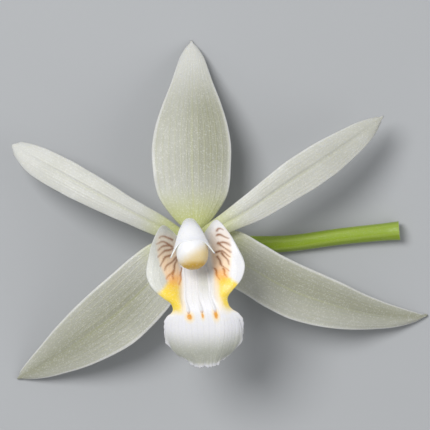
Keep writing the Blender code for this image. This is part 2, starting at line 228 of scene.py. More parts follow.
HOLLOW_RUN = (0.55, 0.92)  # over this run the column opens in front into its hood
HOOD_END_RUN = (0.72, 1.0)  # over this run the hood's teeth and brim grow out
TOOTH_RUN = (0.7, 1.0)
TOOTH_POINT = 7  # the higher, the narrower the hood's teeth
TOOTH_SPREAD = 0.38
KEEL_START_RUN = (-0.05, 0.25)
KEEL_END_RUN = (1.03, 0.97)
KEEL_KNOB = (0.94, 0.05)  # middle and half-length of the swelling at a keel's end
KEEL_KNOB_SIZE = 0.35
KEEL_MARK = 0.6  # how strongly a keel's end takes the colour of the marks
KEEL_MARK_RUN = (0.955, 0.985)
CUT_STEPS = [(0.05, 0.0), (0.09, 0.04), (0.14, 0.03), (0.14, 0.01)]  # inset and sink of the cut's rings

# The anther cap's form on a ball of radius 1, where x is to the side, -y ahead and z up.
CAP_FURROW = 0.025
FRONT_FURROW_HALF = 0.16
FRONT_FURROW_AHEAD = (-0.2, 0.9)
TOP_FURROW_HALF = 0.2
TOP_FURROW_UP = (0.0, 0.8)
CAP_BEAK = 0.08
BEAK_HALF = 0.45
BEAK_LEVEL = (-0.25, 0.4)
BEAK_AHEAD = (0.5, 1.0)
CAP_CORNERS = 0.22  # how square the cap looks from in front
CAP_CORNER_BLUR = 0.01  # keeps the corners away from the cap's very top
CAP_TILT = 0.8
CAP_OPENING = 0.5
POLLEN_PRESSED = (0.12, 0.1, 0.12)  # how much a pollen mass is flattened in x, in y and across its corners

# Where the lip's colours fade in. Each line is a measure, the value where the colour starts and the value
# where it is full. Out is the distance outward from the middle line and y the height, in millimetres.
LIP_FADES = {
    "veins": [("share", 0.74, 0.66)],
    "low": [("y", -3.6, -5.4)],
    "blush": [("past_blush", 0.15, -0.35), ("out", 1.45, 2.0), ("y", -6.6, -5.2)],
    "blush_above": [("y", 0.3, -0.8)],
    "blush_below": [("y", -0.6, -3.6)],
    "yellow": [("under_waist", -0.3, 0.8), ("out", 1.6, 2.3), ("y", -9.3, -7.9)],
    "orange": [("out", 3.5, 2.6), ("out", 1.5, 2.0)],
    "peach": [("y", -9.3, -8.2), ("y", -4.6, -5.6)],
    "tip": [("arched_y", -10.4, -13.2)],
    "throat": [("share", 0.76, 0.68)],
    "throat_left": [("x", -1.0, -3.0)],
}
RIGHT_LOBE_SHIFT = 0.35  # the right side lobe's colours lie this much further out
VEIN_HALF = 0.13  # half-width of a side lobe's vein at its inner end
VEIN_TAPER = 0.4  # how much narrower and how much fainter it is at its outer end
VEIN_FADE = 0.35
VEIN_WANDER = 0.06
VEIN_WANDER_X = (6.1, 1.3)  # how fast the veins wander in x as y changes, and where that starts
VEIN_WANDER_Y = (5.3, 0.7)
VEIN_SWELL = 0.03
BLUSH_REACH = 3.85  # the blush ends this far out at its middle height, and nearer in above and below it
BLUSH_MIDDLE = -1.8
BLUSH_CURVE = 0.06
BLUSH_SHARES = (0.35, 0.65)  # how strong its upper part is, and what its lower part adds
WAIST_Y = -5.0  # the yellow starts at this height, and lower further out
WAIST_OUT = 3.0
WAIST_SLOPE = 0.85
ORANGE_BAND = (-5.15, 0.75)  # height of its middle, and half its width
PEACH = 0.7
PEACH_BAND = (1.8, 0.35)  # how far out its middle is, and half its width
SPOT_EDGE = (1.25, 0.55)  # where a mark starts and is full, in shares of its half-width
HALO_EDGE = (2.6, 1.0)
SIDE_RIM = (0.93, 1.0)  # the middle lobe's margin stays white here
END_RIM_RUN = (0.975, 1.0)
TIP_SHADE = 0.95
TIP_ARCH = 0.7  # how much lower the tip's shade starts at the sides
THROAT_SHADES = (0.1, 0.6, 0.5)  # everywhere, further on the left, and in a patch of painted shadow from the anther cap
THROAT_CAP_SHADOW = ((0.8, 0.9), (-5.8, 1.2))  # the painted shadow's middle and half its size, in x and in y

# Each tissue: cells and mottles in a metre, roughness, height of the fine relief in metres, how much light
# goes through it, and how strongly painted glints whiten its brightest cells. No light goes through the
# thin keels.
TISSUES = {
    "tepal_white": (9500.0, 420.0, 0.46, 0.00003, 0.22, 0.16),
    "lip_marked": (10000.0, 700.0, 0.42, 0.000025, 0.15, 0.16),
    "lip_keel": (10000.0, 700.0, 0.42, 0.000025, 0.0, 0.16),
    "column_white": (7000.0, 600.0, 0.36, 0.000015, 0.25, 0.16),
    "anther_cream": (7000.0, 900.0, 0.34, 0.000015, 0.25, 0.16),
    "pollen_yellow": (12000.0, 2000.0, 0.3, 0.00001, 0.2, 0.16),
    "stalk_green": (12000.0, 900.0, 0.4, 0.00002, 0.15, 0.05),
}
MOTTLE_ROUGHNESS = 0.25  # how much the mottling and the glints change the roughness
GLINT_ROUGHNESS = -0.12
GLINT_TONE = 0.72  # a cell glints if its random tone, from 0 to 1, is above this
VEIN_CREST = 0.55  # the higher, the narrower the long veins
VEIN_BUMP = 0.8  # how much the long veins add to the relief
BUMP_STRENGTH = 0.55
SOFT_DEPTH = {"Subsurface Radius": (1.0, 0.9, 0.6), "Subsurface Scale": 0.0006, "Sheen Weight": 0.12,
              "Specular IOR Level": 0.45}
TEPAL_VEINS = (6.5, 0.35)  # long veins on each half of a sheet, and how far they wander
LIP_VEINS = (9.0, 0.25)
WANDER_PER_METRE = 350.0
WART_SIZES = (0.15, 0.3)  # the smallest and the largest, in shares of the keel's half-width

# How strong each layer of colour is. A step is the value where a layer starts and the value where it is
# full, with its strength there if that isn't 1.
TEPAL_BLOTCH = 0.3
TEPAL_VEIN_TINT = 0.1
TEPAL_UNDER_TINT = 0.3
TEPAL_FOOT_STEP = (0.26, 0.02, 0.85)
MIDRIB_STEP = (0.2, 0.0, 0.2)  # in millimetres from the midrib
MIDRIB_END_STEP = (0.95, 0.3)
LIP_VEIN_TINT = 0.05
LIP_TINTS = {"shade": 1.0, "blush": 0.8, "yellow": 0.95, "orange": 0.75, "halos": 0.7, "spots": 0.95,
             "veins": 0.95}
LIP_UNDER_TINT = 0.25  # the same for all of them on the lip's underside
LIP_UPPER_STEP = (0.3, 0.9)
YELLOW_RAGGED = 0.7  # how much the mottling frays the yellow's edge
YELLOW_STEP = (0.42, 1.35)
COLUMN_FOOT_STEP = (0.5, 0.1, 0.8)
HOLLOW_TINT = 0.35
CAP_RIGHT_CREAM_AND_SHADE = 0.45  # the higher, the further back the cream starts on the cap's right, partly as painted shade
CAP_CREAM_STEP = (-0.35, 0.55)
CAP_BAND_AHEAD = (0.45, 0.8)
CAP_BAND_SIDE = (0.9, 0.5)
CAP_BAND_LEVEL = (-0.65, -0.05)
POLLEN_BLOTCH = 0.5
STALK_BLOTCH = 0.3
# the ovary's top is paler, partly as a painted highlight where it rises towards the light
STALK_PALE_AND_HIGHLIGHT_STEP = (0.3, 0.02, 0.9)
STALK_CREST_STEP = (0.0, 1.0, 0.15)

# The stage, in metres.
FLOOR_SIDE = 3.0
FLOOR_GAP = 0.00002  # the floor lies this far under the lowest point, so that the two don't flicker
FLOOR_MOTTLE = (30.0, 4.0)  # mottles in a metre, and how detailed they are
FLOOR_DIM = 0.93
FLOOR_ROUGHNESS = 0.85
KEY_AT = (-0.2, 0.16, 0.46)
KEY_SIZE = 0.26
FILL_AT = (0.4, -0.1, 0.35)
FILL_SIZE = 0.4
CLIP_START = 0.01
CLIP_END = 10.0


def number_property(name, description, default, **settings):
    return bpy.props.FloatProperty(name=name, description=description, default=default, **settings)


def length_property(name, description, default):
    return number_property(name, description, default, subtype="DISTANCE", unit="LENGTH")


def angle_property(name, description, degrees):
    return number_property(name, description, math.radians(degrees), subtype="ANGLE", unit="ROTATION")


def place_property(name, description, default):
    return bpy.props.FloatVectorProperty(
        name=name, description=description, size=3, default=default, subtype="TRANSLATION", unit="LENGTH")


def colour_property(name, description, default):
    return bpy.props.FloatVectorProperty(
        name=name, description=description, size=4, default=(*default, 1.0), min=0.0, max=1.0,
        subtype="COLOR")


class OrchidSizes(bpy.types.PropertyGroup):
    heart: place_property("Heart", "Where the sepals' feet meet", (-0.0028, -0.00304, 0.0065))
    lip_heart: place_property("Lip's place", "The lip and column's origin, from the heart",
                              (-0.00038, 0.00086, 0.0))
    lip_turn: angle_property("Lip's lean", "How far the lip and column lean to the flower's left", 6.0)
    tepal_middle: length_property("Midrib thickness", "Of a sepal or petal along its midrib", 0.00038)
    tepal_margin: length_property("Margin thickness", "Of a sepal or petal at its margin", 0.00014)
    lip_middle: length_property("Lip thickness", "Of the lip along its channel", 0.00036)
    lip_margin: length_property("Lip margin", "Thickness of the lip at its margin", 0.00013)
    hood_wall: length_property("Hood wall", "Thickness of the column's hood", 0.00012)
    tooth: length_property("Hood tooth", "How far each side of the hood runs on into a tooth", 0.0014)
    hood_brim: length_property("Hood brim", "How far the hood's back runs on over the anther cap", 0.00015)
    cap_wall: length_property("Cap wall", "Thickness of the anther cap", 0.0002)
    keel_width: length_property("Keel width", "Half-width of a keel in the lip's channel", 0.0002)
    keel_warts: bpy.props.IntProperty(
        name="Keel warts", description="Warts along each keel", default=34, min=0)
    rib_count: bpy.props.IntProperty(name="Ribs", description="Ribs round the ovary", default=6, min=1)
    rib_depth: number_property("Rib depth", "Height of a rib as a share of the ovary's radius", 0.09,
                               min=0.0, max=0.5, subtype="FACTOR")
    rib_twist: angle_property("Rib twist", "How far the ribs wind round the stalk", 200.0)


class OrchidColours(bpy.types.PropertyGroup):
    tepal: colour_property("Sepals and petals", "Their white", (0.69, 0.69, 0.665))
    # the grey-green of the sepals' and petals' painted shade, which their blotches and undersides also take
    tepal_shade: colour_property("Midline shade", "The grey-green of their middles", (0.325, 0.327, 0.245))
    tepal_foot: colour_property("Feet", "The yellow-green at their feet", (0.47, 0.5, 0.16))
    lip: colour_property("Lip", "The lip's white", (0.83, 0.82, 0.84))
    lip_shade: colour_property("Lip shade", "The grey-green near the lip's tip", (0.48, 0.49, 0.41))
    blush: colour_property("Blush", "The ground under the side lobes' veins", (0.93, 0.66, 0.42))
    vein: colour_property("Veins", "The side lobes' veins", (0.25, 0.08, 0.006))
    vein_low: colour_property("Lower veins", "The veins where they run into the yellow", (0.62, 0.2, 0.01))
    orange: colour_property("Orange", "Between the blush and the yellow", (0.9, 0.42, 0.06))
    yellow: colour_property("Yellow", "The walls at the lip's waist", (0.95, 0.68, 0.05))
    mark: colour_property("Marks", "The marks where the keels end", (0.8, 0.33, 0.01))
    halo: colour_property("Halo", "The pale ring round each mark", (0.98, 0.76, 0.42))
    # painted glints: the white painted on the brightest cells as highlights
    painted_glint: colour_property("Glints", "The brightest cells", (1.0, 1.0, 1.0))
    column: colour_property("Column", "The column's white", (0.86, 0.86, 0.86))
    column_foot: colour_property("Column's foot", "The pale green at the column's foot", (0.66, 0.72, 0.42))
    cap: colour_property("Anther cap", "The cap's cream", (0.77, 0.59, 0.29))
    cap_front: colour_property("Cap's front", "The ochre band on the cap's front", (0.62, 0.37, 0.04))
    pollen: colour_property("Pollen", "The waxy pollen masses", (0.88, 0.62, 0.1))
    stalk: colour_property("Stalk", "The stalk's green", (0.235, 0.34, 0.004))
    # pale green of the ovary's top, where it is partly a painted highlight, and of the ribs' crests
    stalk_pale: colour_property("Ovary's top", "The pale green by the flower's heart", (0.6, 0.66, 0.32))
    cut: colour_property("Cut end", "The fresh cut across the stalk", (0.62, 0.68, 0.38))


class OrchidStage(bpy.types.PropertyGroup):
    floor: colour_property("Floor", "The pale floor", (0.42, 0.43, 0.44))
    sky: colour_property("Surroundings", "The pale light from all round", (0.8, 0.82, 0.85))
    sky_strength: number_property("Surroundings' strength", "How strong the light from all round is", 0.42)
    key_power: number_property("Key light", "Power of the light at the upper left", 2.2, unit="POWER")
    fill_power: number_property("Fill light", "Power of the light at the right", 0.55, unit="POWER")
    camera_distance: length_property("Camera distance", "From the camera to the flower's middle level", 0.5)
    camera_over: place_property("Camera's aim", "The point at that level that the camera looks at",
                                (-0.00054, -0.00056, 0.006))
    picture_width: length_property("Picture width", "Width that the camera sees at that level", 0.0463)


def smooth(stations, share, column=1):
    """Values at shares of the length, on a smooth curve through the stations."""
    table = np.array(stations, dtype=float)
    places, values = table[:, 0], table[:, column]
    index = np.arange(len(places))
    before, after = np.maximum(index - 1, 0), np.minimum(index + 1, len(places) - 1)
    slopes = (values[after] - values[before]) / (places[after] - places[before])
    i = np.clip(np.searchsorted(places, share) - 1, 0, len(places) - 2)
    span = places[i + 1] - places[i]
    q = (share - places[i]) / span
    return (
        values[i] * (1 + 2 * q) * (1 - q) ** 2
        + slopes[i] * span * q * (1 - q) ** 2
        + values[i + 1] * (3 - 2 * q) * q * q
        + slopes[i + 1] * span * (q - 1) * q * q
    )


def columns(table, share):
    """The values of each of the table's columns at shares of the length."""
    return [smooth(table, share, column) for column in range(1, len(table[0]))]


def curve_points(tables, share):
    """Points at shares of the length, with each coordinate from its own table."""
    return np.stack([smooth(table, share) for table in tables], axis=-1)


def arc(start, knee, end, q):
    """Points at shares q of the curve that leaves the start towards the knee and ends at the end."""
    return start * (1 - q) ** 2 + knee * (2 * q * (1 - q)) + end * q * q


def eased(value, start, end):
    """0 up to start, 1 from end on, and a smooth step between them; start may be the larger."""
    q = np.clip((value - start) / (end - start), 0.0, 1.0)
    return q * q * (3 - 2 * q)


def hump(value, middle, half_width):
    """A bell of height 1 round the middle."""
    return np.exp(-(((value - middle) / half_width) ** 2))


def waves(share, seed, counts=(2.3, 4.1, 7.3)):
    """An irregular wave along a margin, about -1 to 1, the same each run for a seed."""
    phases = np.random.default_rng(seed).uniform(0.0, 2 * math.pi, len(counts))
    return sum(np.sin(2 * math.pi * count * share + phase) / (rank + 2)
               for rank, (count, phase) in enumerate(zip(counts, phases)))


def share_grid(rows, columns):
    """Shares of the length down the rows, and sides from -1 to 1 across the columns."""
    return np.meshgrid(np.linspace(0.0, 1.0, rows), np.linspace(-1.0, 1.0, columns), indexing="ij")


def unit(vectors):
    return vectors / np.maximum(np.linalg.norm(vectors, axis=-1, keepdims=True), SHORTEST)


def turned(x, y, angle):
    return x * np.cos(angle) - y * np.sin(angle), x * np.sin(angle) + y * np.cos(angle)


def from_heart(sizes, x, y, rise):
    """Points of the frame, in metres, from millimetres off the heart."""
    return np.stack((x, y, rise), axis=-1) * MM + np.array(sizes.heart)


def from_lip(sizes, x, y, rise):
    """Points of the frame, in metres, from millimetres in the lip's turned frame."""
    return from_heart(sizes, *turned(x, y, sizes.lip_turn), rise) + np.array(sizes.lip_heart)


@contextmanager
def edited(mesh):
    """The mesh opened for editing; what was done is kept at the end."""
    bm = bmesh.new()
    bm.from_mesh(mesh)
    yield bm
    bm.to_mesh(mesh)
    bm.free()


def face_outward(mesh):
    with edited(mesh) as bm:
        bmesh.ops.recalc_face_normals(bm, faces=bm.faces)


def set_marks(mesh, marks):
    """Gives each point of the mesh a number, or a vector, for each of the marks."""
    for title, values in marks.items():
        is_vector = np.size(values) > len(mesh.vertices)
        kind, field = ("FLOAT_VECTOR", "vector") if is_vector else ("FLOAT", "value")
        mesh.attributes.new(title, kind, "POINT").data.foreach_set(field, np.ravel(values))


def solid_mesh(name, points, faces, marks):
    """A smooth closed mesh with its faces pointing out."""
    mesh = bpy.data.meshes.new(name)
    mesh.from_pydata(points.tolist(), [], faces)
    face_outward(mesh)
    set_marks(mesh, marks)
    mesh.shade_smooth()
    return mesh


def grid_faces(point):
    """The faces between the points of a grid, which are given by their numbers."""
    quads = np.stack((point[:-1, :-1], point[:-1, 1:], point[1:, 1:], point[1:, :-1]), axis=-1)
    return quads.reshape(-1, 4).tolist()


def strip_faces(ring_a, ring_b):
    """The faces between two closed rings of equally many points."""
    next_a, next_b = np.roll(ring_a, -1), np.roll(ring_b, -1)
    return np.stack((ring_a, next_a, next_b, ring_b), axis=-1).tolist()


def sheet_mesh(name, middle, above, below, marks):
    """A thin closed body round a grid of middle points, with a rounded rim.

    Above and below say how far its two faces lie from the middle points. The mark named upper is 1 on the
    face that looks up and 0 on the other.
    """
    along, across = np.gradient(middle, axis=0), np.gradient(middle, axis=1)
    normal = unit(np.cross(along, across))
    upper = middle + normal * above[..., None]
    lower = middle - normal * below[..., None]
    outward = np.zeros_like(middle)
    outward[0] -= unit(along[0])
    outward[-1] += unit(along[-1])
    outward[:, 0] -= unit(across[:, 0])
    outward[:, -1] += unit(across[:, -1])
    count = above.size
    point = np.arange(count).reshape(above.shape)
    edge = np.concatenate((point[0], point[1:, -1], point[-1, -2::-1], point[-2:0:-1, 0]))
    rim = ((upper + lower) / 2 + unit(outward) * ((above + below) / 2)[..., None]).reshape(-1, 3)[edge]
    ring = 2 * count + np.arange(len(edge))
    faces = grid_faces(point) + grid_faces(point + count)
    faces += strip_faces(edge, ring) + strip_faces(ring, edge + count)
    points = np.concatenate((upper.reshape(-1, 3), lower.reshape(-1, 3), rim))
    spread = {"upper": np.concatenate((np.ones(count), np.zeros(count), np.full(len(edge), 0.5)))}
    for title, values in marks.items():
        flat = np.ravel(values)
        spread[title] = np.concatenate((flat, flat, flat[edge]))
    return solid_mesh(name, points, faces, spread)


def new_object(name, data):
    """An object for the data, in the scene."""
    made = bpy.data.objects.new(name, data)
    bpy.context.scene.collection.objects.link(made)
    return made


def finish_piece(name, mesh, material, node):
    """Puts the mesh in the scene as a piece that stands for the solid, at the origin, with its material."""
    mesh.materials.clear()
    mesh.materials.append(material)
    piece = new_object(name, mesh)
    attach(piece, BODY)
    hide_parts(node)


def evaluated_mesh(piece):
    """A plain mesh of the object as its modifiers leave it; the object itself is removed."""
    graph = bpy.context.evaluated_depsgraph_get()
    mesh = bpy.data.meshes.new_from_object(piece.evaluated_get(graph))
    source = piece.data
    bpy.data.objects.remove(piece)
    bpy.data.meshes.remove(source)
    face_outward(mesh)
    return mesh


def tepal_mesh(name, tepal, sizes, seed):
    """A sepal or petal: grooved over its midrib, ridged below it, finely veined and thin at its margins."""
    share, side = share_grid(*TEPAL_GRID)
    foot, tip = np.array(tepal["foot"]), np.array(tepal["tip"])
    axis = tip - foot
    forward = axis / np.linalg.norm(axis)
    left = np.array((-forward[1], forward[0]))
    half = smooth(tepal["half_width"], share)
    rounding = half * side**2 * eased(share, *ROUND_TIP_RUN)
    across = side * half
    off_axis = smooth(tepal["bow"], share) + across
    flat = foot + axis * share[..., None] + left * off_axis[..., None] - forward * rounding[..., None]
    fade = np.sin(math.pi * share)
    margin = np.where(side < 0, waves(share, seed), waves(share, seed + 1))
    rise = smooth(tepal["rise"], share) + tepal["cup"] * half * side**2 * fade
    rise += tepal["ripple"] * margin * np.abs(side) ** 3 * fade
    middle = from_heart(sizes, flat[..., 0], flat[..., 1], rise)

    slim = 1.0 - np.abs(side) ** 3
    thickness = (sizes.tepal_margin + (sizes.tepal_middle - sizes.tepal_margin) * slim) / MM
    midrib = hump(across, 0.0, MIDRIB_HALF)
    groove = tepal["groove"] * midrib * eased(share, *GROOVE_RUN)
    veins = VEIN_RELIEF * np.cos(2 * math.pi * VEINS_A_SIDE * side) * slim * fade
    below = TEPAL_SEAT + RIDGE * midrib * eased(share, *RIDGE_RUN)
    above = thickness - TEPAL_SEAT - groove + veins
    # painted shade greys the sheet: most round its shade side, less near its foot, not at its very margin
    # and not past its shade end
    painted_shade = tepal["painted_shade"] * eased(share, tepal["painted_shade_end"], tepal["painted_shade_end"] - PAINTED_SHADE_FADE)
    for strength in (hump(side, tepal["painted_shade_side"], PAINTED_SHADE_HALF), eased(share, *PAINTED_SHADE_FOOT_RUN)):
        painted_shade *= PAINTED_SHADE_LEAST + (1.0 - PAINTED_SHADE_LEAST) * strength
    marks = {"share": share, "side": side, "across": across, "painted_shade": painted_shade * eased(np.abs(side), *PAINTED_SHADE_RIM)}
    return sheet_mesh(name, middle, above * MM, below * MM, marks)


def lip_middle(share, side):
    """The lip's middle surface in its turned frame: a channel, two side lobes and the middle lobe."""
    reach = np.abs(side)
    floor, edge = curve_points(LIP_FLOOR, share), curve_points(LIP_EDGE, share)
    knee = floor + (edge - floor) * WALL_KNEE
    knee[..., 2] += smooth(LIP_WALL_BULGE, share)
    q = np.clip((reach - FLOOR_SHARE) / (1.0 - FLOOR_SHARE), 0.0, 1.0)[..., None]
    point = arc(floor, knee, edge, q)
    point[..., 0] *= np.sign(side) * np.minimum(reach / FLOOR_SHARE, 1.0)
    for _ in range(LIP_BLUR_ROUNDS):
        point[:, 1:-1] = (point[:, :-2] + 2 * point[:, 1:-1] + point[:, 2:]) / 4
    return point


def turned_middle_lobe(point, share):
    """The same points with the side lobes shifted a little, and the middle lobe shifted and turned."""
    on_lobe = eased(share, *MIDDLE_LOBE)
    shift = on_lobe * MIDDLE_LOBE_SHIFT + hump(share, *SIDE_LOBES) * SIDE_LOBES_SHIFT
    x, y = turned(point[..., 0], point[..., 1] - MIDDLE_LOBE_NECK, on_lobe * MIDDLE_LOBE_TURN)
    return np.stack((x + shift, y + MIDDLE_LOBE_NECK, point[..., 2]), axis=-1)


def ruffled(point, share, side):
    """The same points with a crenulate, gently waved margin round the middle lobe and flared side lobes."""
    reach = np.abs(side)
    lobe, at_end = eased(share, *LOBE_RUN), eased(share, *LOBE_END_RUN)
    rim = np.maximum(eased(reach, *RUFFLE_RIM), at_end)
    along_end, down_sides = RUFFLE_TURNS
    round_margin = side * (along_end + down_sides * (1.0 - share) * side**4)
    scallop = RUFFLE_OUT * waves(round_margin, *RUFFLE_OUT_WAVE) * rim**2 * lobe
    swell = RUFFLE_UP * waves(round_margin, *RUFFLE_UP_WAVE) * rim * lobe
    flare = FLARE_UP * waves(share, *FLARE_WAVE) * eased(reach, *FLARE_RIM) * (1.0 - lobe)
    return point + np.stack((scallop * side, -scallop * at_end, swell + flare), axis=-1)


def wander(value, rate, start):
    return VEIN_WANDER * np.sin(rate * value + start)


def vein_darkness(x, y, veins):
    """How dark the side lobe's veins are at points of the lip's frame, x measured outward."""
    place = np.stack((x + wander(y, *VEIN_WANDER_X), y + wander(x, *VEIN_WANDER_Y)), axis=-1)
    dark = np.zeros_like(x)
    for x0, y0, x1, y1, bow in veins:
        start, end = np.array((x0, y0)), np.array((x1, y1))
        way = end - start
        upward = unit(np.array((-way[1], way[0]))) * np.sign(way[0])
        q = np.linspace(0.0, 1.0, VEIN_POINTS)[:, None]
        line = arc(start, (start + end) / 2 + upward * bow * 2, end, q)
        for a, run, along in zip(line, np.diff(line, axis=0), q[:, 0]):
            near = np.clip((place - a) @ run / (run @ run), 0.0, 1.0)
            gap = np.linalg.norm(place - a - near[..., None] * run, axis=-1)
            width = VEIN_HALF * (1.0 - VEIN_TAPER * along)
            dark = np.maximum(dark, hump(gap, 0.0, width) * (1.0 - VEIN_FADE * along**2))
    return dark


def lip_marks(point, share, side):
    """The numbers that colour the lip: veins, blush, orange, yellow, spots, halos and shade."""
    x, y = point[..., 0], point[..., 1]
    reach = np.abs(side)
    out = np.where(x > 0, x - RIGHT_LOBE_SHIFT, -x)
    measures = {
        "share": share, "x": x, "y": y, "out": out,
        "past_blush": out - BLUSH_REACH + BLUSH_CURVE * (y - BLUSH_MIDDLE) ** 2,
        "under_waist": WAIST_Y - WAIST_SLOPE * np.maximum(out - WAIST_OUT, 0.0) - y,
        "arched_y": y - TIP_ARCH * reach**3,
    }

    def faded(colour):
        return math.prod(eased(measures[measure], start, end) for measure, start, end in LIP_FADES[colour])

    veins = np.where(x > 0, vein_darkness(x, y, VEINS_RIGHT), vein_darkness(-x, y, VEINS_LEFT))
    above, below = BLUSH_SHARES
    blush = faded("blush") * (above * faded("blush_above") + below * faded("blush_below"))
    spots, halos = np.zeros_like(x), PEACH * hump(out, *PEACH_BAND) * faded("peach")
    for spot_x, spot_y, half_width, half_length in MARKS:
        gap = np.hypot((x - spot_x) / half_width, (y - spot_y) / half_length)
        spots = np.maximum(spots, eased(gap, *SPOT_EDGE))
        halos = np.maximum(halos, eased(gap, *HALO_EDGE))
    rim = np.maximum(eased(reach, *SIDE_RIM), eased(share, *END_RIM_RUN))
    plain, left, cap_shadow = THROAT_SHADES
    in_x, in_y = THROAT_CAP_SHADOW
    # the last part is a painted shadow of the anther cap
    throat = plain + left * faded("throat_left") + cap_shadow * hump(x, *in_x) * hump(y, *in_y)
    shade = TIP_SHADE * faded("tip") * (1.0 - rim) + throat * faded("throat")
    return {"side": side, "veins": veins * faded("veins"), "low": faded("low"), "blush": blush,
            "orange": hump(y, *ORANGE_BAND) * faded("orange"), "yellow": faded("yellow"),
            "spots": spots, "halos": halos, "shade": shade}


def lip_mesh(sizes):
    share, side = share_grid(*LIP_GRID)
    point = lip_middle(share, side)
    marks = lip_marks(point, share, side)
    shaped = ruffled(turned_middle_lobe(point, share), share, side)
    middle = from_lip(sizes, *np.moveaxis(shaped, -1, 0))
    slim = 1.0 - np.maximum(np.abs(side) ** 4, eased(share, *THIN_RUN) ** 2)
    half = (sizes.lip_margin + (sizes.lip_middle - sizes.lip_margin) * slim) / 2
    fan = FAN_RELIEF * MM * np.cos(2 * math.pi * FAN_VEINS * side) * slim * eased(share, *FAN_RUN)
    swell = marks["veins"] * VEIN_SWELL * MM
    return sheet_mesh("lip", middle, half + fan + swell, half, marks)


def column_mesh(sizes):
    """The column: slender and round below, widening upward to a hood that is hollow in front.

    Each ring runs over the back from one side to the other, then returns through the front. Near the top
    the return closes on the back, which leaves a thin wall. The two sides run on into pointed teeth, and
    the middle of the back into a brim.
    """
    rings, facets = COLUMN_GRID
    count = 2 * facets
    angles = np.arange(count) * math.pi / facets
    share, around = np.meshgrid(np.linspace(0.0, 1.0, rings), angles, indexing="ij")
    y, rise, half, back, front = columns(COLUMN_LINE, share)
    way = unit(np.stack((np.gradient(y, axis=0), np.gradient(rise, axis=0)), axis=-1))
    wall = sizes.hood_wall / MM
    sine, cosine = np.abs(np.sin(around)), np.cos(around)
    in_front = around > math.pi
    hollow = eased(share, *HOLLOW_RUN)
    across = np.where(in_front, half - wall * hollow, half) * cosine
    depth = np.where(in_front, (back - wall) * hollow - front * (1.0 - hollow), back) * sine
    to_side = np.abs(cosine) ** TOOTH_POINT
    run_on = eased(share, *HOOD_END_RUN) * (sizes.tooth * to_side + sizes.hood_brim * sine**2) / MM
    across *= 1.0 + TOOTH_SPREAD * to_side * eased(share, *TOOTH_RUN)
    point_y = y + depth * way[..., 1] + run_on * way[..., 0]
    point_rise = rise - depth * way[..., 0] + run_on * way[..., 1]
    points = from_lip(sizes, across, point_y, point_rise).reshape(-1, 3)

    ring = np.arange(count)
    last = (rings - 1) * count
    faces = [list(ring)]
    for first in range(0, last, count):
        faces += strip_faces(ring + first, ring + first + count)
    for step in range(facets):
        there, back_again = (step, step + 1), (count - step - 1, (count - step) % count)
        faces.append([last + corner for corner in dict.fromkeys(there + back_again)])
    return solid_mesh("column", points, faces, {"share": share, "inside": in_front * hollow})


def ball(name, centre, size, facets, sizes, shaped):
    """A smooth egg in the lip's frame, which shaped(x, y, z) reshapes on the unit ball."""
    mesh = bpy.data.meshes.new(name)
    with edited(mesh) as bm:
        bmesh.ops.create_uvsphere(bm, u_segments=facets[0], v_segments=facets[1], radius=1.0)
        x, y, z = np.array([vert.co for vert in bm.verts]).T
        shape = (at + part * reach for at, part, reach in zip(centre, shaped(x, y, z), size))
        for vert, place in zip(bm.verts, from_lip(sizes, *shape)):
            vert.co = place
    mesh.shade_smooth()
    set_marks(mesh, {"ahead": -y, "upward": z, "aside": x})
    return mesh


def two_lobed(x, y, z):
    """The unit ball as an anther cap: furrowed down its middle, with a low beak in front."""
    furrow = 1.0 - CAP_FURROW * hump(x, 0.0, FRONT_FURROW_HALF) * eased(-y, *FRONT_FURROW_AHEAD)
    beak = 1.0 + CAP_BEAK * hump(x, 0.0, BEAK_HALF) * hump(z, *BEAK_LEVEL) * eased(-y, *BEAK_AHEAD)
    top = 1.0 - CAP_FURROW * hump(x, 0.0, TOP_FURROW_HALF) * eased(z, *TOP_FURROW_UP)
    square = 1.0 + CAP_CORNERS * (x * y) ** 2 / (x**2 + y**2 + CAP_CORNER_BLUR)
    return x * square, y * square * furrow * beak, z * top


def cap_mesh(sizes):
    """The anther cap: a thin dome, open low at the back, where it sits on the column."""
    whole = ball("anther_cap", ANTHER_AT, ANTHER_SIZE, CAP_FACETS, sizes, two_lobed)
    with edited(whole) as bm:
        ahead, upward = (bm.verts.layers.float[title] for title in ("ahead", "upward"))
        behind = [vert for vert in bm.verts if vert[ahead] + CAP_TILT * vert[upward] < -CAP_OPENING]
        bmesh.ops.delete(bm, geom=behind, context="VERTS")
    shell = new_object("cap_shell", whole)
    wall = shell.modifiers.new("wall", "SOLIDIFY")
    wall.thickness = sizes.cap_wall
    wall.offset = -1.0
    return evaluated_mesh(shell)


def pollen_shape(x, y, z):
    """The unit ball flattened a little where the masses press together."""
    in_x, in_y, at_corners = POLLEN_PRESSED
    return x * (1.0 - in_x * y**2), y * (1.0 - in_y * x**2), z * (1.0 + at_corners * x * y)


def line_object(name, lines, marks):
    """An object of open lines of points, all equally long, with the marks at each point."""
    points = np.concatenate(lines)
    length = len(lines[0])
    edges = [(i, i + 1) for i in range(len(points) - 1) if (i + 1) % length]
    mesh = bpy.data.meshes.new(name)
    mesh.from_pydata(points.tolist(), edges, [])
    set_marks(mesh, marks)
    return new_object(name, mesh)


def grown_mesh(source, tree, inputs):
    """The plain mesh that the tree grows from the object with these inputs."""
    modifier = source.modifiers.new(tree.name, "NODES")
    modifier.node_group = tree
    for item in tree.interface.items_tree:
        if item.in_out == "INPUT" and item.name in inputs:
            modifier[item.identifier] = inputs[item.name]
    return evaluated_mesh(source)


